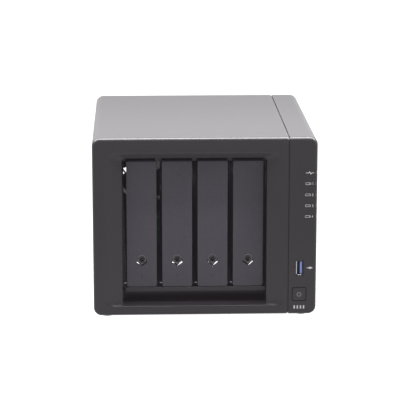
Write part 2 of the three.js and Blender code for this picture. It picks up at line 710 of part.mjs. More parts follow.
function rearPanel() {
  const base = BOARD_TOP;
  const [y0, y1] = [PANEL.front - 1, PANEL.back + 1];
  const margin = 0.4;
  const hole = (x, width, height) => (
    block([x - width / 2 - margin, x + width / 2 + margin], [y0, y1], [base - margin, base + height + margin])
  );
  const sheet = alongY(
    roundedRect([-SIDE + PANEL.inset, SIDE - PANEL.inset], [FLOOR + 0.5, CEILING - 0.5], PANEL.corner),
    [PANEL.front, PANEL.back],
  );
  const grilles = [-FAN.x, FAN.x].flatMap((x) => GRILLE.rings.flatMap((ring) => grilleSlots(x, ring)));
  const screwHoles = [-1, 1].flatMap((side) => [PANEL_SCREW.low, PANEL_SCREW.high].map((z) => (
    rod("y", BOSS.bore, [y0, y1], [side * PANEL_SCREW.x, z], 8)
  )));
  const { x, z, width, height } = CABLE_LOCK;
  const lockSlot = roundedRect([x - width / 2, x + width / 2], [z - height / 2, z + height / 2], 0.8);
  const { count, first, pitch, half, bottom, top } = AIR_SLOTS;
  const airSlots = each(count, (i) => {
    const middle = first + i * pitch;
    return block([middle - half, middle + half], [y0, y1], [bottom, top]);
  });
  return cut(sheet, [
    ...grilles,
    ...screwHoles,
    ...airSlots,
    ...LAN.xs.map((lanX) => hole(lanX, LAN.width, LAN.height)),
    hole(REAR_USB.x, REAR_USB.width, REAR_USB.height),
    hole(DC_INLET.x, DC_INLET.size, DC_INLET.size),
    rod("y", RESET.radius + 0.4, [y0, y1], [RESET.x, RESET.z], 12),
    alongY(lockSlot, [y0, y1]),
  ]);
}

function panelScrew() {
  const { head, shank, tip } = PANEL_SCREW;
  const seat = PANEL.back + GAP;
  const cap = rod("y", head, [seat, seat + 1.8], [0, 0], 12);
  const thread = rod("y", shank, [tip, seat + 0.7], [0, 0], 6);
  const [arm, slit, recess] = [1.9, 0.4, [seat + 0.9, seat + 3]];
  const cross = [block([-arm, arm], recess, [-slit, slit]), block([-slit, slit], recess, [-arm, arm])];
  return cut(cap.add(thread), cross);
}

// ---------------------------------------------------------------- front controls

function powerButton() {
  const half = POWER.size / 2;
  const square = (size, radius) => roundedRect([-size, size], [-size, size], radius);
  const cap = alongY(square(half, 1.5), [FRONT, FRONT + 6]);
  const flange = alongY(square(half + 1.6, 2), [FRONT + WALL + 0.4, FRONT + WALL + 1.6]);
  return cap.add(flange);
}

function controlBoard() {
  const { y, left, right, bottom, top } = CONTROL_BOARD;
  const board = block([left, right], [y, y + BOARD], [bottom, top]);
  const [halfWidth, halfHeight] = [FRONT_USB.width / 2 + 1.2, FRONT_USB.height / 2 + 1.5];
  const usbClearance = block(
    [FRONT_USB.x - halfWidth, FRONT_USB.x + halfWidth],
    [y - 1, y + BOARD + 1],
    [FRONT_USB.z - halfHeight, FRONT_USB.z + halfHeight],
  );
  const powerSwitch = block([POWER.x - 3, POWER.x + 3], [y - 2, y + 0.5], [POWER.z - 3, POWER.z + 3]);
  return cut(board, [usbClearance]).add(powerSwitch);
}

function frontUsbShell() {
  const { x, z, width, height } = FRONT_USB;
  const [y0, y1] = [FRONT + 0.9, FRONT + 14];
  const sleeve = (inset, span) => block(
    [x - width / 2 + inset, x + width / 2 - inset],
    span,
    [z - height / 2 + inset, z + height / 2 - inset],
  );
  return cut(sleeve(0, [y0, y1]), [sleeve(0.5, [y0 - 1, y1 - 1])]);
}

function frontUsbTongue() {
  const { x, z } = FRONT_USB;
  return block([x + 0.3, x + 2.2], [FRONT + 1.6, FRONT + 12.7], [z - 5.6, z + 5.6]);
}

// A clear bar behind the panel with one stub for each lamp, flush with the rounded edge.
function lightGuide() {
  const bar = block([94.4, 96.6], [FRONT + WALL + GAP, FRONT + 6], [91, 138]);
  const { x, half, depth, heights } = LAMP;
  const stubs = heights.map((z) => (
    block([x - half + 0.1, SIDE], [FRONT - 1, FRONT + depth], [z - half, z + half])
  ));
  const necks = heights.map((z) => (
    block([96, x - 0.8], [FRONT + WALL + GAP, FRONT + depth], [z - half, z + half])
  ));
  return join([...stubs, bar, ...necks]).intersect(caseForm(0.05));
}

// Flat cable from the control board back to the main board.
function ribbonCable() {
  const path = new THREE.CurvePath();
  const { x, z, thickness, width } = CABLE;
  const corners = [
    [x, CONTROL_BOARD.y + BOARD + GAP, z],
    [x, -92, z],
    [x, -20, z],
    [x, -2, BOARD_TOP + 1],
    [x, 10, BOARD_TOP + 1],
  ].map((point) => new THREE.Vector3(...point));
  for (let i = 1; i < corners.length; i += 1) {
    path.add(new THREE.LineCurve3(corners[i - 1], corners[i]));
  }
  const [u, v] = [thickness / 2, width / 2];
  const section = polygon([[-u, -v], [u, -v], [u, v], [-u, v]]);
  const options = { steps: 12, bevelEnabled: false, extrudePath: path };
  return toSolid(new THREE.ExtrudeGeometry(section, options));
}

// ---------------------------------------------------------------- assembly

const FINISHES = {
  casePlastic: { color: 0x3d3b3e, roughness: 0.55, metalness: 0 },
  trayPlastic: { color: 0x434249, roughness: 0.6, metalness: 0 },
  blackPlastic: { color: 0x17171a, roughness: 0.5, metalness: 0 },
  rubber: { color: 0x1c1c1d, roughness: 0.9, metalness: 0 },
  steel: { color: 0x9a9b9d, roughness: 0.4, metalness: 0.9 },
  blackSteel: { color: 0x232326, roughness: 0.5, metalness: 0.6 },
  board: { color: 0x1d5b3a, roughness: 0.6, metalness: 0.1 },
  aluminium: { color: 0xb5b7ba, roughness: 0.35, metalness: 0.9 },
  usbBlue: { color: 0x3d6fd6, roughness: 0.45, metalness: 0 },
  clear: { color: 0xd8dde0, roughness: 0.2, metalness: 0 },
};

const assembly = new THREE.Group();

function place(parent, name, finish, solid, [x, y, z] = [0, 0, 0]) {
  const material = new THREE.MeshStandardMaterial(FINISHES[finish]);
  const mesh = new THREE.Mesh(toGeometry(solid), material);
  mesh.name = name;
  mesh.position.set(x, y, z);
  parent.add(mesh);
}

function addCase() {
  place(assembly, "left_shell", "casePlastic", leftShell());
  place(assembly, "right_shell", "casePlastic", rightShell());
  place(assembly, "chassis_base", "steel", chassisBase());
  place(assembly, "rear_panel", "blackSteel", rearPanel());
  place(assembly, "drive_cage", "blackSteel", driveCage());
  place(assembly, "sill_trim", "blackPlastic", sillTrim());
  for (const [end, y] of [["front", FEET.front], ["back", FEET.back]]) {
    place(assembly, `foot_${end}_left`, "rubber", foot(), [-FEET.x, y, 0]);
    place(assembly, `foot_${end}_right`, "rubber", foot(), [FEET.x, y, 0]);
  }
  for (const [level, z] of [["lower", PANEL_SCREW.low], ["upper", PANEL_SCREW.high]]) {
    place(assembly, `panel_screw_${level}_left`, "steel", panelScrew(), [-PANEL_SCREW.x, 0, z]);
    place(assembly, `panel_screw_${level}_right`, "steel", panelScrew(), [PANEL_SCREW.x, 0, z]);
  }
}

function addTrays() {
  for (let bay = 0; bay < BAY_COUNT; bay += 1) {
    const group = new THREE.Group();
    group.position.x = bayX(bay);
    const name = `tray_${bay + 1}`;
    place(group, name, "trayPlastic", tray());
    place(group, `${name}_handle`, "trayPlastic", trayHandle());
    place(group, `${name}_lock`, "blackPlastic", lockBarrel());
    place(group, `${name}_hinge_pin`, "steel", hingePin());
    place(group, `${name}_upper_strip`, "blackPlastic", railStrip(true));
    place(group, `${name}_lower_strip`, "blackPlastic", railStrip(false));
    assembly.add(group);
  }
}

function addElectronics() {
  place(assembly, "backplane", "board", backplane());
  for (let bay = 0; bay < BAY_COUNT; bay += 1) {
    place(assembly, `drive_socket_${bay + 1}`, "blackPlastic", driveSocket(), [bayX(bay) - 7, 0, 0]);
  }
  place(assembly, "mainboard", "board", mainboard());
  place(assembly, "heatsink", "aluminium", heatsink());
  LAN.xs.forEach((x, i) => place(assembly, `lan_port_${i + 1}`, "steel", lanPort(x)));
  place(assembly, "rear_usb_port", "steel", rearUsbPort());
  place(assembly, "dc_inlet", "blackPlastic", dcInlet());
  place(assembly, "reset_button", "blackPlastic", resetButton());
  place(assembly, "ribbon_cable", "blackPlastic", ribbonCable());
}

function addFans() {
  [-FAN.x, FAN.x].forEach((x, i) => {
    place(assembly, `fan_${i + 1}_frame`, "blackPlastic", fanFrame(), [x, FAN.front, FAN.z]);
    place(assembly, `fan_${i + 1}_rotor`, "blackPlastic", fanRotor(), [x, FAN.front, FAN.z]);
  });
}

function addControls() {
  place(assembly, "power_button", "casePlastic", powerButton(), [POWER.x, 0, POWER.z]);
  place(assembly, "control_board", "board", controlBoard());
  place(assembly, "front_usb_shell", "steel", frontUsbShell());
  place(assembly, "front_usb_tongue", "usbBlue", frontUsbTongue());
  place(assembly, "light_guide", "clear", lightGuide());
}

addCase();
addTrays();
addElectronics();
addFans();
addControls();

export default assembly;
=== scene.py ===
"""Looks of a desktop network storage enclosure with four drive trays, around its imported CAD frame."""
import json
import math

import bmesh
import bpy
from mathutils import Matrix, Vector


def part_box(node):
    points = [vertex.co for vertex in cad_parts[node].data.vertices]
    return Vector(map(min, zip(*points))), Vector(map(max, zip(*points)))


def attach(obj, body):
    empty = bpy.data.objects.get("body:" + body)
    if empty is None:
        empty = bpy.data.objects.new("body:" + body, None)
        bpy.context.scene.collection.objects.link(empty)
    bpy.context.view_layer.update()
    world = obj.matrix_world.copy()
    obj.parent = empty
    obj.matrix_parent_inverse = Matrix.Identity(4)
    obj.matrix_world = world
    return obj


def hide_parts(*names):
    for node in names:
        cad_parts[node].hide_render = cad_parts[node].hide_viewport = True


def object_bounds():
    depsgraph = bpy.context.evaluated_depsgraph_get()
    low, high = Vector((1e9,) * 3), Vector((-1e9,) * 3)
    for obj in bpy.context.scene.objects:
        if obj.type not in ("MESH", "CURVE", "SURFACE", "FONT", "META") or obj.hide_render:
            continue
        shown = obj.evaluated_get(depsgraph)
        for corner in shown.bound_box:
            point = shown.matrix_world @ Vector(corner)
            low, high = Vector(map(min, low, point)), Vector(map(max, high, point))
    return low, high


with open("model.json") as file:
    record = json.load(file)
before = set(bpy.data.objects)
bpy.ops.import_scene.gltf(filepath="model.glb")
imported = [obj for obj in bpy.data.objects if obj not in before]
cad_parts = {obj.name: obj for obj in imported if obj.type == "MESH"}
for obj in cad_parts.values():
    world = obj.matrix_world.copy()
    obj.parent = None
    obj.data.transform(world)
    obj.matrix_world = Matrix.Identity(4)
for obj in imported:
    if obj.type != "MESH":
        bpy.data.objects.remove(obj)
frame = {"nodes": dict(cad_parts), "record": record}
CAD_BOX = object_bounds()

MM = 0.001
TAU = math.tau
NODES = frame["nodes"]
BAYS = range(1, 5)


# ------------------------------------------------------------------ camera, light and floor

CAMERA_PLACE = (-0.0609, -1.7099, 0.4763)
CAMERA_YAW = math.radians(2.02)
CAMERA_PITCH = math.radians(12.89)
CAMERA_LENS = 167.2
SENSOR = 36.0
WORLD_LIGHT = 1.0
FLOOR_REACH = 6.0

# Each softbox: its place, the point it is aimed at, its width and height, and its brightness.
SOFTBOXES = {
    "backdrop": ((0, 2.6, 0.85), (0, 0, 0.15), (4.0, 1.5), 0.54),
    "upper_left": ((-1.3, -0.35, 1.15), (0, 0, 0.1), (0.8, 0.6), 11),
    "upper_right": ((1.3, -0.35, 1.15), (0, 0, 0.1), (0.8, 0.6), 11),
    "right_edge": ((1.6, -0.6, 0.35), (0, -0.1, 0.1), (0.4, 1.0), 5),
    "overhead": ((0, -0.085, 0.33), (0, -0.085, 0), (0.6, 0.15), 32),
}


def add_camera():
    data = bpy.data.cameras.new("camera")
    data.lens = CAMERA_LENS
    data.sensor_width = SENSOR
    camera = bpy.data.objects.new("camera", data)
    camera.location = CAMERA_PLACE
    camera.rotation_euler = (math.pi / 2 - CAMERA_PITCH, 0, -CAMERA_YAW)
    bpy.context.scene.collection.objects.link(camera)
    bpy.context.scene.camera = camera


def add_softbox(name, place, target, size, brightness):
    """A rectangle of light; its brightness is in units of the white surroundings."""
    data = bpy.data.lights.new(name, "AREA")
    data.shape = "RECTANGLE"
    data.size, data.size_y = size
    data.energy = brightness * math.pi * size[0] * size[1]
    light = bpy.data.objects.new(name, data)
    light.visible_camera = False
    light.location = place
    aim = Vector(target) - Vector(place)
    light.rotation_euler = aim.to_track_quat("-Z", "Y").to_euler()
    bpy.context.scene.collection.objects.link(light)


def add_studio():
    world = bpy.data.worlds.new("studio")
    world.use_nodes = True
    background = world.node_tree.nodes["Background"]
    background.inputs["Color"].default_value = (1, 1, 1, 1)
    background.inputs["Strength"].default_value = WORLD_LIGHT
    bpy.context.scene.world = world
    bpy.context.scene.view_settings.view_transform = "Standard"
    for name, settings in SOFTBOXES.items():
        add_softbox(name, *settings)


def add_floor():
    mesh = bpy.data.meshes.new("floor")
    corners = [(-1, -1), (1, -1), (1, 1), (-1, 1)]
    mesh.from_pydata([(x * FLOOR_REACH, y * FLOOR_REACH, 0) for x, y in corners], [], [(0, 1, 2, 3)])
    floor = bpy.data.objects.new("floor", mesh)
    bpy.context.scene.collection.objects.link(floor)
    mesh.materials.append(floor_material())


# ------------------------------------------------------------------ node helpers


# Every finish of the object glows faintly: painted light that lifts its deep shadows, as the haze of a
# white room would.
PAINTED_GLOW = (1.0, 0.82, 1.0)
PAINTED_GLOW_STRENGTH = 0.01

# Places of the colour sockets on a mix node, which has sockets of the same name for other types.
MIX_FACTOR, MIX_FIRST, MIX_SECOND = 0, 6, 7
MIX_RESULT = 2


class Shader:
    """A material under construction: one Principled shader and short ways to feed it."""

    def __init__(self, name, color, roughness, metallic=0.0):
        self.material = bpy.data.materials.new(name)
        self.material.use_nodes = True
        self.tree = self.material.node_tree
        self.surface = self.tree.nodes["Principled BSDF"]
        self.surface.inputs["Base Color"].default_value = (*color, 1)
        self.surface.inputs["Roughness"].default_value = roughness
        self.surface.inputs["Metallic"].default_value = metallic
        # A faint glow on every finish: painted light over deep shade.
        self.surface.inputs["Emission Color"].default_value = (*PAINTED_GLOW, 1)
        self.surface.inputs["Emission Strength"].default_value = PAINTED_GLOW_STRENGTH
        self.place = self.tree.nodes.new("ShaderNodeTexCoord").outputs["Object"]

    def set(self, **values):
        for name, value in values.items():
            self.surface.inputs[name.replace("_", " ")].default_value = value
        return self

    def feed(self, socket, output):
        self.tree.links.new(output, self.surface.inputs[socket])
        return self

    def node(self, kind, links=None, **settings):
        made = self.tree.nodes.new(kind)
        for name, value in settings.items():
            setattr(made, name, value)
        for name, value in (links or {}).items():
            if isinstance(value, bpy.types.NodeSocket):
                self.tree.links.new(value, made.inputs[name])
            else:
                made.inputs[name].default_value = value
        return made

    def stretched(self, scale):
        return self.node("ShaderNodeMapping", {"Vector": self.place, "Scale": scale}).outputs[0]

    def noise(self, scale, detail=3.0, place=None):
        links = {"Vector": place or self.place, "Scale": scale, "Detail": detail}
        return self.node("ShaderNodeTexNoise", links).outputs["Fac"]

    def cells(self, scale, output="Distance"):
        links = {"Vector": self.place, "Scale": scale}
        return self.node("ShaderNodeTexVoronoi", links).outputs[output]

    def ramp(self, value, stops):
        made = self.node("ShaderNodeValToRGB", {"Fac": value})
        elements = made.color_ramp.elements
        while len(elements) < len(stops):
            elements.new(0.5)
        for element, (position, color) in zip(elements, stops):
            element.position = position
            element.color = (*color, 1)
        return made.outputs["Color"]

    def span(self, value, low, high):
        links = {"Value": value, "To Min": low, "To Max": high}
        return self.node("ShaderNodeMapRange", links).outputs["Result"]

    def mix(self, factor, first, second, blend="MIX"):
        made = self.node("ShaderNodeMix", data_type="RGBA", blend_type=blend)
        for index, value in ((MIX_FACTOR, factor), (MIX_FIRST, first), (MIX_SECOND, second)):
            if isinstance(value, bpy.types.NodeSocket):
                self.tree.links.new(value, made.inputs[index])
            elif index == MIX_FACTOR:
                made.inputs[index].default_value = value
            else:
                made.inputs[index].default_value = (*value, 1)
        return made.outputs[MIX_RESULT]

    def bump(self, height, depth, strength=1.0):
        links = {"Height": height, "Distance": depth, "Strength": strength}
        return self.feed("Normal", self.node("ShaderNodeBump", links).outputs["Normal"])


def shade(color, factor):
    return tuple(channel * factor for channel in color)


# ------------------------------------------------------------------ materials


def floor_material():
    """Backlit acrylic: it glows a little, so the shadow on it stays pale."""
    shader = Shader("pale_floor", (0.12, 0.12, 0.12), 0.8)
    tone = shader.ramp(shader.noise(2.0), [(0.3, (0.115, 0.115, 0.115)), (0.7, (0.125, 0.125, 0.125))])
    shader.set(Emission_Color=(1, 1, 1, 1), Emission_Strength=1.05, IOR=1.3)
    return shader.feed("Base Color", tone).material


def moulded_plastic(name, color, roughness, grain=2200, relief=0.012 * MM, ior=1.3):
    """Spark-eroded plastic: a fine even grain, slight tone drift and uneven gloss."""
    shader = Shader(name, color, roughness).set(IOR=ior)
    drift = shader.ramp(shader.noise(40, 4), [(0.3, shade(color, 0.97)), (0.7, shade(color, 1.03))])
    speck = shader.ramp(shader.noise(grain, 2), [(0.35, (0.9, 0.9, 0.9)), (0.65, (1.1, 1.1, 1.1))])
    shader.feed("Base Color", shader.mix(1.0, drift, speck, "MULTIPLY"))
    shader.feed("Roughness", shader.span(shader.noise(90, 5), roughness - 0.01, roughness + 0.01))
    return shader.bump(shader.noise(grain, 2), relief).material


def case_plastic():
    return moulded_plastic("case_plastic", (0.0116, 0.0102, 0.0122), 0.3)


def tray_plastic():
    """The tray faces carry a slightly coarser, faintly metallic speckle."""
    shader = Shader("tray_plastic", (0.0265, 0.024, 0.0315), 0.5).set(IOR=1.3)
    flakes = shader.cells(1900, "Color")
    sparkle = shader.node("ShaderNodeRGBToBW", {"Color": flakes}).outputs[0]
    tone = shader.ramp(sparkle, [(0.2, (0.0225, 0.0203, 0.0262)), (0.8, (0.031, 0.0283, 0.0362))])
    drift = shader.ramp(shader.noise(18, 4), [(0.3, (0.92, 0.92, 0.92)), (0.7, (1.08, 1.08, 1.08))])
    shader.feed("Base Color", shader.mix(1.0, tone, drift, "MULTIPLY"))
    shader.feed("Roughness", shader.span(sparkle, 0.44, 0.56))
    return shader.bump(shader.noise(1800, 2), 0.02 * MM).material


def black_plastic():
    return moulded_plastic("black_plastic", (0.012, 0.0115, 0.013), 0.45, grain=1800)


def lock_insert():
    """Polished black plastic that mirrors the light above."""
    color = (0.008, 0.0075, 0.0085)
    return moulded_plastic("lock_insert", color, 0.14, grain=500, relief=0.002 * MM, ior=1.75)


def lock_metal():
    """Dark plated barrel, turned: fine rings around its axis."""
    shader = Shader("lock_metal", (0.018, 0.016, 0.02), 0.5).set(IOR=1.35)
    rings = shader.noise(1, 4, shader.stretched((300, 4000, 300)))
    tone = shader.ramp(rings, [(0.3, (0.014, 0.0125, 0.016)), (0.7, (0.022, 0.02, 0.024))])
    shader.feed("Base Color", tone)
    return shader.bump(rings, 0.004 * MM).material


def gold_plate():
    shader = Shader("gold_plate", (0.85, 0.6, 0.28), 0.25, 1.0)
    tone = shader.ramp(shader.noise(800, 3), [(0.3, (0.78, 0.54, 0.24)), (0.7, (0.9, 0.66, 0.32))])
    return shader.feed("Base Color", tone).material


def silver_foil():
    shader = Shader("silver_foil", (0.6, 0.6, 0.6), 0.4, 0.8)
    tone = shader.ramp(shader.noise(400, 4), [(0.3, (0.5, 0.5, 0.5)), (0.7, (0.66, 0.66, 0.67))])
    shader.feed("Base Color", tone)
    return shader.bump(shader.noise(300, 4), 0.02 * MM).material


def flat_cable():
    """Black strands side by side, each a rounded ridge across the cable's width."""
    shader = Shader("flat_cable", (0.02, 0.02, 0.021), 0.4)
    ridges = shader.node(
        "ShaderNodeTexWave",
        {"Vector": shader.place, "Scale": 250.0, "Distortion": 0.0},
        bands_direction="Z",
    ).outputs["Fac"]
    tone = shader.ramp(ridges, [(0.1, (0.008, 0.008, 0.008)), (0.6, (0.03, 0.03, 0.032))])
    shader.feed("Base Color", tone)
    return shader.bump(ridges, 0.15 * MM).material


def lamp_plastic():
    return moulded_plastic("smoked_lamp", (0.02, 0.019, 0.02), 0.25, grain=900, relief=0.005 * MM)


def usb_blue():
    return moulded_plastic("usb_blue", (0.13, 0.18, 0.42), 0.4, grain=900, relief=0.01 * MM)


def rubber():
    shader = Shader("foot_rubber", (0.02, 0.02, 0.021), 0.85)
    dust = shader.ramp(shader.noise(160, 6), [(0.45, (0.018, 0.018, 0.019)), (0.75, (0.04, 0.039, 0.038))])
    shader.feed("Base Color", dust)
    return shader.bump(shader.noise(700, 3), 0.04 * MM).material


def zinc_steel(name="zinc_steel", tone=0.55):
    """Zinc plate: crystal patches that differ in tone and gloss, with fine rolling lines."""
    shader = Shader(name, (tone, tone, tone), 0.35, 1.0)
    patches = shader.node("ShaderNodeRGBToBW", {"Color": shader.cells(260, "Color")}).outputs[0]
    low, high = shade((1, 1.01, 1.03), tone * 0.8), shade((1, 1, 1), tone * 1.15)
    shader.feed("Base Color", shader.ramp(patches, [(0.1, low), (0.9, high)]))
    shader.feed("Roughness", shader.span(patches, 0.28, 0.46))
    lines = shader.noise(1, 4, shader.stretched((60, 2500, 2500)))
    return shader.bump(lines, 0.01 * MM).material


def black_steel():
    """Powder coat: an orange-peel skin over sheet steel. On the drive cage and the front socket's shell
    this black is painted shade for the dark inside the case.
    """
    shader = Shader("black_powder_coat", (0.025, 0.025, 0.027), 0.5)
    tone = shader.ramp(shader.noise(900, 3), [(0.3, (0.02, 0.02, 0.022)), (0.7, (0.034, 0.034, 0.037))])
    shader.feed("Base Color", tone)
    shader.feed("Roughness", shader.span(shader.noise(90, 4), 0.42, 0.58))
    return shader.bump(shader.noise(1100, 4), 0.05 * MM).material


def circuit_board():
    """Green solder mask with raised tracks and tinned pads."""
    shader = Shader("circuit_board", (0.01, 0.09, 0.04), 0.3)
    tracks = shader.node(
        "ShaderNodeTexBrick",
        {"Vector": shader.place, "Scale": 220.0, "Mortar Size": 0.06, "Color1": (0, 0, 0, 1),
         "Color2": (0.05, 0.05, 0.05, 1), "Mortar": (1, 1, 1, 1)},
    ).outputs["Color"]
    pads = shader.ramp(shader.cells(420), [(0.16, (1, 1, 1)), (0.2, (0, 0, 0))])
    mask = shader.mix(tracks, (0.008, 0.075, 0.035), (0.02, 0.16, 0.07))
    shader.feed("Base Color", shader.mix(pads, mask, (0.62, 0.6, 0.55)))
    shader.feed("Metallic", pads)
    return shader.bump(tracks, 0.03 * MM).material


def aluminium():
    shader = Shader("extruded_aluminium", (0.7, 0.71, 0.72), 0.3, 1.0)
    lines = shader.noise(1, 5, shader.stretched((2600, 40, 2600)))
    shader.feed("Base Color", shader.ramp(lines, [(0.3, (0.58, 0.59, 0.6)), (0.7, (0.78, 0.79, 0.8))]))
    shader.feed("Roughness", shader.span(lines, 0.24, 0.42))
    return shader.bump(lines, 0.015 * MM).material


def white_print():
    shader = Shader("white_print", (0.29, 0.29, 0.3), 0.5)
    tone = shader.ramp(shader.noise(2500, 2), [(0.3, (0.25, 0.25, 0.26)), (0.7, (0.33, 0.33, 0.34))])
    return shader.feed("Base Color", tone).material


def grey_print():
    shader = Shader("grey_print", (0.12, 0.12, 0.125), 0.5)
    tone = shader.ramp(shader.noise(2500, 2), [(0.3, (0.1, 0.1, 0.105)), (0.7, (0.14, 0.14, 0.145))])
    return shader.feed("Base Color", tone).material


MATERIALS = {
    "case_plastic": case_plastic(),
    "tray_plastic": tray_plastic(),
    "black_plastic": black_plastic(),
    "rubber": rubber(),
    "steel": zinc_steel(),
    # black_steel also dresses the drive cage: its black there is painted shade deep in the bays.
    "black_steel": black_steel(),
    "circuit_board": circuit_board(),
    "aluminium": aluminium(),
    "usb_blue": usb_blue(),
    "clear_plastic": lamp_plastic(),
}
WHITE_PRINT = white_print()
GREY_PRINT = grey_print()
LOCK_INSERT = lock_insert()
GOLD = gold_plate()
FOIL = silver_foil()
# A darker copy of zinc steel, with shade painted into it, for steel that sits in shade: the front socket's
# edge strip and the leaf beside the first tray.
SHADED_ZINC = zinc_steel("shaded_zinc", 0.32)
LOCK_METAL = lock_metal()
NODE_MATERIALS = {f"tray_{bay}_lock": LOCK_METAL for bay in BAYS}
# The front socket's steel shell gets the black powder coat: painted shade for the dark inside of the
# socket.
NODE_MATERIALS.update(ribbon_cable=flat_cable(), front_usb_shell=MATERIALS["black_steel"])


# ------------------------------------------------------------------ CAD nodes

FLAT_ANGLE = math.radians(0.5)
NODE_EDGE_ANGLE = math.radians(32)
PIECE_EDGE_ANGLE = math.radians(40)
BEVEL_STEPS = 2
WELD_REACH = 0.002
DOUBLE_REACH = 0.0005

# Width in millimetres of the rounded edges on each finish.
EDGES = {
    "case_plastic": 0.4,
    "tray_plastic": 0.5,
    "black_plastic": 0.25,
    "rubber": 0.3,
    "steel": 0.12,
    "black_steel": 0.2,
    "circuit_board": 0.1,
    "aluminium": 0.15,
    "usb_blue": 0.2,
    "clear_plastic": 0.15,
}


def round_edges(piece, width, angle):
    """Rounds the edges that turn by more than the angle, by a width in millimetres."""
    mesh = piece.data
    mesh.polygons.foreach_set("use_smooth", [True] * len(mesh.polygons))
    bevel = piece.modifiers.new("bevel", "BEVEL")
    bevel.width = width * MM
    bevel.segments = BEVEL_STEPS
    bevel.limit_method = "ANGLE"
    bevel.angle_limit = angle
    bevel.harden_normals = True


def soften(piece, width):
    """Joins split corners, merges flat facets, rounds real edges and evens the shading."""
    bpy.context.view_layer.objects.active = piece
    bpy.ops.mesh.customdata_custom_splitnormals_clear()
    weld = piece.modifiers.new("weld", "WELD")
    weld.merge_threshold = WELD_REACH * MM
    flat = piece.modifiers.new("flat", "DECIMATE")
    flat.decimate_type = "DISSOLVE"
    flat.angle_limit = FLAT_ANGLE
    round_edges(piece, width, NODE_EDGE_ANGLE)
    even = piece.modifiers.new("even", "WEIGHTED_NORMAL")
    even.keep_sharp = True


def dress_cad_nodes():
    for part in frame["record"]["subparts"]:
        piece = NODES[part["node"]]
        finish = part["material_slot"]
        piece.data.materials.clear()
        piece.data.materials.append(NODE_MATERIALS.get(part["node"], MATERIALS[finish]))
        soften(piece, EDGES[finish])


# ------------------------------------------------------------------ building pieces


def corners_of(node):
    """The low and high corner of a node's box, in millimetres."""
    return [Vector(corner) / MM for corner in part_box(node)]


def middle(node):
    """The middle of a node's box as seen from the front, x and z in millimetres."""
    low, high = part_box(node)
    place = (Vector(low) + Vector(high)) / 2
    return (place.x / MM, place.z / MM)


def front_of(node):
    """Where a node's front lies, in millimetres."""
    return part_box(node)[0][1] / MM


def add_piece(name, mesh, material, body, bevel=0.0):
    """Links a mesh as a piece of the object that rides on a body."""
    piece = bpy.data.objects.new(name, mesh)
    bpy.context.scene.collection.objects.link(piece)
    mesh.materials.append(material)
    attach(piece, body)
    if bevel:
        round_edges(piece, bevel, PIECE_EDGE_ANGLE)
    return piece


def arc(centre, radius, start, end, steps):
    """Points in millimetres from one angle to another, both ends in."""
    angles = [start + (end - start) * i / steps for i in range(steps + 1)]
    return [(centre[0] + radius * math.cos(a), centre[1] + radius * math.sin(a)) for a in angles]


def ring(centre, radius, steps=32):
    return arc(centre, radius, 0, TAU, steps)[:-1]


def rounded_box(left, right, bottom, top, radius, steps=5):
    """Outline of a box with round corners, each corner given by its centre and first quarter turn."""
    corners = [
        (right - radius, bottom + radius, -1),
        (right - radius, top - radius, 0),
        (left + radius, top - radius, 1),
        (left + radius, bottom + radius, 2),
    ]
    quarter = TAU / 4
    return [
        point
        for x, z, turn in corners
        for point in arc((x, z), radius, turn * quarter, (turn + 1) * quarter, steps)
    ]


def plate(loops, front, thickness):
    """A flat plate from nested outlines (x, z), its front face at y = front, all in millimetres."""
    outline = bpy.data.curves.new("outline", "CURVE")
    outline.dimensions = "2D"
    outline.fill_mode = "BOTH"
    outline.extrude = thickness / 2
    for loop in loops:
        spline = outline.splines.new("POLY")
        spline.points.add(len(loop) - 1)
        spline.use_cyclic_u = True
        for point, (x, z) in zip(spline.points, loop):
            point.co = (x, z, 0, 1)
    maker = bpy.data.objects.new("outline", outline)
    mesh = bpy.data.meshes.new_from_object(maker)
    bpy.data.objects.remove(maker)
    bpy.data.curves.remove(outline)
    upright = Matrix.Rotation(math.pi / 2, 4, "X")
    place = Matrix.Translation((0, (front + thickness / 2) * MM, 0))
    mesh.transform(place @ Matrix.Scale(MM, 4) @ upright)
    tidy(mesh)
    return mesh


def tidy(mesh):
    """Merges doubled points, melts flat triangles together and turns the faces outwards."""
    work = bmesh.new()
    work.from_mesh(mesh)
    bmesh.ops.remove_doubles(work, verts=work.verts, dist=DOUBLE_REACH * MM)
    bmesh.ops.dissolve_limit(work, angle_limit=FLAT_ANGLE, verts=work.verts, edges=work.edges)
    bmesh.ops.recalc_face_normals(work, faces=work.faces)
    work.to_mesh(mesh)
    work.free()


def merged(meshes):
    """One mesh made of several, which are used up."""
    work = bmesh.new()
    for mesh in meshes:
        work.from_mesh(mesh)
        bpy.data.meshes.remove(mesh)
    whole = bpy.data.meshes.new("merged")
    work.to_mesh(whole)
    work.free()
    return whole


def bar(x0, x1, y0, y1, z0, z1):
    """A block in millimetres, for add_piece to round off."""
    work = bmesh.new()
    bmesh.ops.create_cube(work, size=1.0)
    size = Matrix.Diagonal(((x1 - x0) * MM, (y1 - y0) * MM, (z1 - z0) * MM, 1))
    place = Matrix.Translation(((x0 + x1) / 2 * MM, (y0 + y1) / 2 * MM, (z0 + z1) / 2 * MM))
    work.transform(place @ size)
    mesh = bpy.data.meshes.new("bar")
    work.to_mesh(mesh)
    work.free()
    return mesh


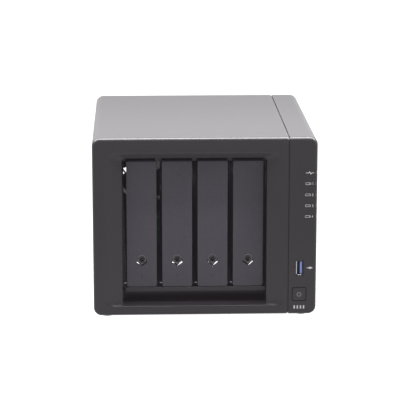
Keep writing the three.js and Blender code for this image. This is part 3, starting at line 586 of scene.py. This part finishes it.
def turned(profile, centre, steps=24):
    """A closed round solid from (radius, height) pairs in millimetres, first and last on the axis."""
    work = bmesh.new()
    rings = []
    for radius, height in profile:
        angles = [0.0] if radius == 0 else [TAU * i / steps for i in range(steps)]
        rings.append([
            work.verts.new(Vector((radius * math.cos(a), radius * math.sin(a), height)) * MM)
            for a in angles
        ])
    for low, high in zip(rings, rings[1:]):
        for i in range(steps):
            j = (i + 1) % steps
            corners = [low[i % len(low)], low[j % len(low)], high[j % len(high)], high[i % len(high)]]
            work.faces.new(list(dict.fromkeys(corners)))
    work.transform(Matrix.Translation(Vector(centre) * MM))
    bmesh.ops.recalc_face_normals(work, faces=work.faces)
    mesh = bpy.data.meshes.new("turned")
    work.to_mesh(mesh)
    work.free()
    return mesh


# ------------------------------------------------------------------ printed marks

FRONT = CAD_BOX[0][1] / MM
INK = 0.05
PRINT_Y = FRONT - INK
MARK_X = 93.2
MARK_HEIGHT = 2.0
LAMP_ROWS = (134.0, 124.3, 114.2, 104.3, 94.5)


def ribbon(points, width):
    """Outline of a line of even width through the points, with mitred corners."""
    line = [Vector(point) for point in points]
    left, right = [], []
    for i, point in enumerate(line):
        before = (point - line[max(i - 1, 0)]).normalized()
        after = (line[min(i + 1, len(line) - 1)] - point).normalized()
        along = (before + after).normalized()
        side = Vector((-along.y, along.x))
        reach = width / 2 / max(along.dot(after if i == 0 else before), 0.5)
        left.append(tuple(point + side * reach))
        right.append(tuple(point - side * reach))
    return left + right[::-1]


def digit_outline(text, x, z, height):
    """A numeral as a ribbon, drawn on a grid one unit wide and two high."""
    strokes = {
        "1": [(0.15, 1.6), (0.6, 2.0), (0.6, 0.0)],
        "2": [*arc((0.5, 1.5), 0.5, math.pi, -0.6, 8), (0.0, 0.0), (1.05, 0.0)],
        "3": [*arc((0.45, 1.5), 0.5, 2.6, -1.2, 7), *arc((0.45, 0.5), 0.52, 1.2, -2.6, 7)],
        "4": [(1.15, 0.6), (0.0, 0.6), (0.75, 2.0), (0.75, 0.0)],
    }[text]
    scale = height / 2
    line = height * 0.17
    return ribbon([(x + u * scale, z - scale + v * scale) for u, v in strokes], line)


def add_print(name, loops, material, body="case", front=PRINT_Y):
    add_piece(name, plate(loops, front, INK), material, body)


def add_lamp_marks():
    """Beside each lamp: a pulse line for the unit, then a drive outline and its number."""
    pulse = [(-4.2, 0), (-1.7, 0), (-0.9, 1.1), (0.2, -1.1), (1.0, 0), (3.0, 0)]
    unit = [(MARK_X + x, LAMP_ROWS[0] + z) for x, z in pulse]
    add_print("unit_mark", [ribbon(unit, 0.5)], WHITE_PRINT)
    left, right = MARK_X - 4.4, MARK_X + 0.4
    line = 0.28
    hub_x, hub_radius = right - 1.2, 0.3
    numeral_x = MARK_X + 1.6
    for bay, z in zip(BAYS, LAMP_ROWS[1:]):
        low, high = z - MARK_HEIGHT / 2, z + MARK_HEIGHT / 2
        loops = [
            rounded_box(left, right, low, high, 0.5),
            rounded_box(left + line, right - line, low + line, high - line, 0.2),
            ring((hub_x, z), hub_radius, 12),
            digit_outline(str(bay), numeral_x, z, MARK_HEIGHT),
        ]
        add_print(f"drive_mark_{bay}", loops, WHITE_PRINT)


def add_socket_mark():
    """A plain plug on its lead, beside the front socket."""
    z = middle("front_usb_shell")[1]
    upper = [(-2.6, 0.25), (-0.6, 0.25), (-0.6, 0.9), (1.4, 0.9), (1.4, 0.5), (2.6, 0.5)]
    lower = [(x, -rise) for x, rise in reversed(upper)]
    outline = [(MARK_X + x, z + rise) for x, rise in upper + lower]
    add_print("socket_mark", [outline], WHITE_PRINT)


def add_socket_rim():
    """A lighter steel strip at the left and bottom of the front socket's steel shell: a painted highlight
    where the shell's edge catches the light.
    """
    low, high = corners_of("front_usb_shell")
    front = low.y - 0.1
    back = front + 0.3
    left = bar(low.x + 0.1, low.x + 0.9, front, back, low.z + 1, high.z - 1)
    bottom = bar(low.x + 1.6, high.x - 1.6, front, back, low.z + 0.1, low.z + 0.8)
    add_piece("front_socket_painted_highlight", merged([left, bottom]), SHADED_ZINC, "case", bevel=0.1)


def add_bay_count_mark():
    """Four upright bars under the power button, one for each bay."""
    base, height = 9.7, 3.0
    pitch, half, corner = 2.8, 0.6, 0.25
    first = middle("power_button")[0] - (len(BAYS) - 1) / 2 * pitch
    bars = [
        rounded_box(x - half, x + half, base, base + height, corner)
        for x in (first + i * pitch for i in range(len(BAYS)))
    ]
    add_print("bay_count_mark", bars, WHITE_PRINT)


def add_power_mark():
    """The usual broken circle with a bar, on the power button."""
    x, z = middle("power_button")
    line = 0.42
    radius, gap = 1.8, 0.55
    start = TAU / 4 + gap
    end = TAU / 4 + TAU - gap
    circle = arc((x, z - 0.1), radius, start, end, 24)
    upright = [(x, z + 0.3), (x, z + 2.2)]
    loops = [ribbon(circle, line), ribbon(upright, line)]
    add_print("power_mark", loops, GREY_PRINT, "power_button", front_of("power_button") - INK)


def add_tray_marks():
    """A faint moulded tick under each lock, and one on the sill under each tray."""
    black = MATERIALS["black_plastic"]
    sill = front_of("sill_trim") - INK / 2
    for bay in BAYS:
        handle = f"tray_{bay}_handle"
        x = middle(handle)[0]
        face = front_of(handle) - INK / 2
        tick = rounded_box(x - 0.3, x + 0.3, 35.8, 39.4, 0.25)
        add_print(f"tray_{bay}_tick", [tick], black, f"handle_{bay}", face)
        notch = rounded_box(x - 0.5, x + 0.5, 24.6, 26.2, 0.3)
        add_print(f"sill_tick_{bay}", [notch], black, "case", sill)


# ------------------------------------------------------------------ locks

SURROUND_DEPTH = 1.5
SURROUND_WALL = 0.08
SURROUND_INSET = 0.02
BARREL_HOLE = 3.35
# A black disc deep in each lock barrel, painted shade at the bottom of the keyway: its radius, depth and
# thickness.
KEYWAY_SHADE_RADIUS = 1.95
KEYWAY_SHADE_DEPTH = 2.7
KEYWAY_SHADE_THICKNESS = 0.1


def shield(centre, radius, wing, shoulder, tip):
    """Round above, two wings and a point below: 12 points that start at the right of the round."""
    start = 0.2
    x, z = centre
    top = arc((x, z + 0.6), radius, start, math.pi - start, 8)
    return [*top, (x - wing, z - shoulder), (x, z - tip), (x + wing, z - shoulder)]


def surround_mesh(centre, face):
    """Facets that fall from a shield in the tray's face to a smaller one, with a hole for the barrel."""
    mouth = shield(centre, radius=4.1, wing=4.7, shoulder=2.6, tip=5.9)
    floor = shield(centre, radius=3.65, wing=3.8, shoulder=1.5, tip=4.6)
    toward = [math.atan2(z - centre[1], x - centre[0]) for x, z in floor]
    hole = [
        (centre[0] + BARREL_HOLE * math.cos(a), centre[1] + BARREL_HOLE * math.sin(a)) for a in toward
    ]
    floor_y = face + SURROUND_DEPTH
    work = bmesh.new()
    loops = [
        [work.verts.new((x * MM, y * MM, z * MM)) for x, z in loop]
        for loop, y in ((mouth, face + SURROUND_INSET), (floor, floor_y), (hole, floor_y))
    ]
    for outer, inner in zip(loops, loops[1:]):
        for i in range(len(outer)):
            j = (i + 1) % len(outer)
            work.faces.new((outer[i], outer[j], inner[j], inner[i]))
    bmesh.ops.recalc_face_normals(work, faces=work.faces)
    mesh = bpy.data.meshes.new("lock_surround")
    work.to_mesh(mesh)
    work.free()
    return mesh


def add_lock_surrounds():
    """A glossy insert in each lock's hollow, and a black disc deep in its barrel: painted shade at the
    bottom of the keyway.
    """
    for bay in BAYS:
        centre = middle(f"tray_{bay}_lock")
        mesh = surround_mesh(centre, front_of(f"tray_{bay}_handle"))
        piece = add_piece(f"tray_{bay}_lock_surround", mesh, LOCK_INSERT, f"handle_{bay}")
        wall = piece.modifiers.new("wall", "SOLIDIFY")
        wall.thickness = SURROUND_WALL * MM
        # The black disc is painted shade for the dark inside of the keyway.
        keyway_shade_y = front_of(f"tray_{bay}_lock") + KEYWAY_SHADE_DEPTH
        keyway_shade = plate([ring(centre, KEYWAY_SHADE_RADIUS, 20)], keyway_shade_y, KEYWAY_SHADE_THICKNESS)
        add_piece(f"tray_{bay}_keyway", keyway_shade, MATERIALS["black_plastic"], f"lock_{bay}", bevel=0.03)


# ------------------------------------------------------------------ contact springs

SPRING_FOOT_Y = (-89.6, -87.6)
SPRING_FOOT_Z = (28.5, 29.3)
SPRING_LEAF_Y = (-84.6, -84.2)
SPRING_LEAF_Z = (40, 57)


def add_contact_springs():
    """Steel springs that earth the trays: a foot left of each tray, and a leaf beside the first one."""
    for bay in BAYS:
        edge = corners_of(f"tray_{bay}_handle")[0].x
        foot = bar(edge - 2.4, edge - 0.3, *SPRING_FOOT_Y, *SPRING_FOOT_Z)
        add_piece(f"contact_spring_{bay}", foot, MATERIALS["steel"], "case", bevel=0.15)
    edge = corners_of("tray_1_handle")[0].x
    leaf = bar(edge - 1.9, edge - 1.5, *SPRING_LEAF_Y, *SPRING_LEAF_Z)
    add_piece("contact_leaf", leaf, SHADED_ZINC, "case", bevel=0.1)


# ------------------------------------------------------------------ the back

BACK_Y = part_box("rear_panel")[1][1] / MM
PANEL_SHEET = BACK_Y - front_of("rear_panel")
FANS = ("fan_1_frame", "fan_2_frame")
FAN_SCREW_OFFSET = 41.25
GRILLE_RINGS = ((13.5, 18.5), (20.2, 25.2), (26.9, 31.9), (33.6, 40))
GRILLE_ARM = 2.6
AIR_SLOT_PLACES = [-52 + 8 * i for i in range(12)]
AIR_SLOT_HALF = 2
AIR_SLOT_Z = (36, 47)
AIR_SLOT_CORNER = 1.9
PANEL_CORNER = 4
SCREW_HOLE = 1.7
RESET_HOLE = 1.5
CABLE_LOCK_CORNER = 0.8
# Left, right, bottom and top of the slot for a cable lock.
CABLE_LOCK_SLOT = (66.5, 73.5, 22.5, 25.5)
PORTS = ("lan_port_1", "lan_port_2", "rear_usb_port", "dc_inlet")


def curved_slot(centre, inner, outer, start, end, steps=10):
    """A slot along a ring, with round ends."""
    half = (outer - inner) / 2
    mid = (inner + outer) / 2
    trim = half / mid
    far, near = end - trim, start + trim

    def cap(angle, first):
        x = centre[0] + mid * math.cos(angle)
        z = centre[1] + mid * math.sin(angle)
        return arc((x, z), half, first, first + math.pi, 6)[1:-1]

    return [
        *arc(centre, outer, near, far, steps),
        *cap(far, far),
        *arc(centre, inner, far, near, steps),
        *cap(near, near + math.pi),
    ]


def grille(centre):
    """Four rings of four curved slots each, between arms of even width."""
    slots = []
    for inner, outer in GRILLE_RINGS:
        margin = GRILLE_ARM / (inner + outer)
        for start in (0, TAU / 4, TAU / 2, TAU * 3 / 4):
            slots.append(curved_slot(centre, inner, outer, start + margin, start + TAU / 4 - margin))
    return slots


def around(node, margin=0.5):
    """An outline a little larger than a node as seen from the back."""
    (left, _, bottom), (right, _, top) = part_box(node)
    across = left / MM - margin, right / MM + margin
    return rounded_box(*across, bottom / MM - margin, top / MM + margin, margin, 3)


def air_slots():
    """A row of upright slots below the fans."""
    half, corner = AIR_SLOT_HALF, AIR_SLOT_CORNER
    return [rounded_box(x - half, x + half, *AIR_SLOT_Z, corner) for x in AIR_SLOT_PLACES]


def add_rear_panel():
    """The rear sheet with rounded openings, in place of the plain one."""
    low, high = corners_of("rear_panel")
    screws = [f"panel_screw_{level}_{side}" for level in ("lower", "upper") for side in ("left", "right")]
    loops = [
        rounded_box(low.x, high.x, low.z, high.z, PANEL_CORNER, 8),
        *[slot for fan in FANS for slot in grille(middle(fan))],
        *air_slots(),
        *[ring(middle(screw), SCREW_HOLE, 20) for screw in screws],
        *[around(port) for port in PORTS],
        ring(middle("reset_button"), RESET_HOLE, 20),
        rounded_box(*CABLE_LOCK_SLOT, CABLE_LOCK_CORNER),
    ]
    mesh = plate(loops, low.y, PANEL_SHEET)
    panel = add_piece("rear_panel_sheet", mesh, MATERIALS["black_steel"], "case", bevel=0.15)
    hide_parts("rear_panel")


def screw_head(x, z, radius=3.2, height=1.5):
    """A pan head on the back, with a cross recess."""
    arm, half = radius * 0.62, 0.45
    cross = [
        (half, half), (half, arm), (-half, arm), (-half, half), (-arm, half), (-arm, -half),
        (-half, -half), (-half, -arm), (half, -arm), (half, -half), (arm, -half), (arm, half),
    ]
    edge = ring((x, z), radius, 28)
    depth = height * 0.6
    seat = plate([edge], BACK_Y, height - depth)
    rim = plate([edge, [(x + u, z + v) for u, v in cross]], BACK_Y + height - depth, depth)
    return merged([rim, seat])


def add_fan_screws():
    for fan in FANS:
        x, z = middle(fan)
        corners = [
            (x + i * FAN_SCREW_OFFSET, z + j * FAN_SCREW_OFFSET) for i in (-1, 1) for j in (-1, 1)
        ]
        for number, corner in enumerate(corners, 1):
            name = fan.replace("frame", f"screw_{number}")
            add_piece(name, screw_head(*corner), MATERIALS["steel"], "case", bevel=0.2)


def add_port_details():
    """Lamps and contacts in the network sockets, and their printed numbers."""
    clear = MATERIALS["clear_plastic"]
    lamp_offset, lamp_half = 6.6, 1.1
    contact_count, contact_pitch, contact_width = 8, 1.02, 0.45
    for number in (1, 2):
        low, high = corners_of(f"lan_port_{number}")
        x = (low.x + high.x) / 2
        lamps = merged([
            bar(lamp - lamp_half, lamp + lamp_half, high.y - 0.2, high.y + 0.15, low.z + 1.2, low.z + 3.4)
            for lamp in (x - lamp_offset, x + lamp_offset)
        ])
        add_piece(f"lan_lamps_{number}", lamps, clear, "case", bevel=0.1)
        contacts = merged([
            bar(left, left + contact_width, high.y - 12, high.y - 2.5, high.z - 1.9, high.z - 1.5)
            for left in (x - 3.8 + i * contact_pitch for i in range(contact_count))
        ])
        add_piece(f"lan_contacts_{number}", contacts, GOLD, "case")
        numeral = digit_outline(str(number), x - 0.6, high.z + 3.2, 2.6)
        seen_from_back = [(2 * x - u, v) for u, v in numeral]
        add_print(f"lan_number_{number}", [seen_from_back], WHITE_PRINT, "case", BACK_Y)


# ------------------------------------------------------------------ inside

# Each chip: its middle in x and y, its width and its length.
CHIPS = (
    (-30, 20, 18, 18), (10, 16, 14, 20), (40, 30, 10, 10),
    (-55, 40, 8, 12), (20, 50, 9, 14), (-8, 58, 12, 8),
)
CHIP_HEIGHT = 1.4
LEG_PITCH = 1.6
CAPACITOR_ROW_Y = 76
CAPACITOR_XS = (-46, -34, 0, 26, 38)
COIN_CELL_PLACE = (-50, 6)
HEADER_ROWS = (68, 71)
HEADER_PINS = range(-20, 21, 4)


def add_chip(number, x, y, width, length, top):
    """A chip of the given width and length, with a row of legs down each long side."""
    left, right = x - width / 2, x + width / 2
    body = bar(left, right, y - length / 2, y + length / 2, top, top + CHIP_HEIGHT)
    add_piece(f"chip_{number}", body, MATERIALS["black_plastic"], "case", bevel=0.2)
    half_row = int(length / 4)
    legs = merged([
        bar(side - 0.9, side + 0.9, leg - 0.3, leg + 0.3, top, top + 0.5)
        for side in (left, right)
        for leg in (y + k * LEG_PITCH for k in range(-half_row, half_row + 1))
    ])
    add_piece(f"chip_{number}_legs", legs, MATERIALS["steel"], "case")


def add_capacitors(top):
    """Aluminium cans with a crimped foot and a rounded rim."""
    can = [
        (0, 0), (4, 0), (4, 1.2), (3.7, 1.6), (4, 2), (4, 9.6),
        (3.6, 10), (3.2, 10), (3.1, 9.8), (0, 9.8),
    ]
    for number, x in enumerate(CAPACITOR_XS, 1):
        mesh = turned(can, (x, CAPACITOR_ROW_Y, top))
        add_piece(f"capacitor_{number}", mesh, MATERIALS["aluminium"], "case", bevel=0.1)


def add_coin_cell(top):
    cell = [(0, 0), (9.6, 0), (10, 0.4), (10, 2.8), (9.6, 3.2), (0, 3.2)]
    coin = turned(cell, (*COIN_CELL_PLACE, top), steps=40)
    add_piece("coin_cell", coin, MATERIALS["steel"], "case", bevel=0.15)


def add_pin_header(top):
    """Two rows of gold pins that stand out of a black base."""
    base_height, pin_top, pin_half = 2.5, 8, 0.3
    pins = [
        bar(x - pin_half, x + pin_half, y - pin_half, y + pin_half, top + base_height - 0.1, top + pin_top)
        for x in HEADER_PINS
        for y in HEADER_ROWS
    ]
    add_piece("header_pins", merged(pins), GOLD, "case")
    base = bar(-22.5, 22.5, 66, 73, top, top + base_height)
    add_piece("header_body", base, MATERIALS["black_plastic"], "case", bevel=0.2)


def add_board_parts():
    """Chips, capacitors, a coin cell and a pin header on the main board."""
    top = corners_of("mainboard")[1].z
    for number, chip in enumerate(CHIPS, 1):
        add_chip(number, *chip, top)
    add_capacitors(top)
    add_coin_cell(top)
    add_pin_header(top)


def add_fan_hub_discs():
    """A plain foil disc on each fan's motor mount."""
    radius, thickness, gap = 14.5, 0.1, 0.02
    for number, fan in enumerate(FANS, 1):
        front = front_of(fan) - thickness - gap
        disc = plate([ring(middle(fan), radius, 40)], front, thickness)
        add_piece(f"fan_{number}_disc", disc, FOIL, "case", bevel=0.03)


# ------------------------------------------------------------------ script

add_camera()
add_studio()
add_floor()
dress_cad_nodes()
add_lamp_marks()
add_socket_mark()
add_socket_rim()
add_bay_count_mark()
add_power_mark()
add_tray_marks()
add_lock_surrounds()
add_contact_springs()
add_rear_panel()
add_fan_screws()
add_port_details()
add_board_parts()
add_fan_hub_discs()
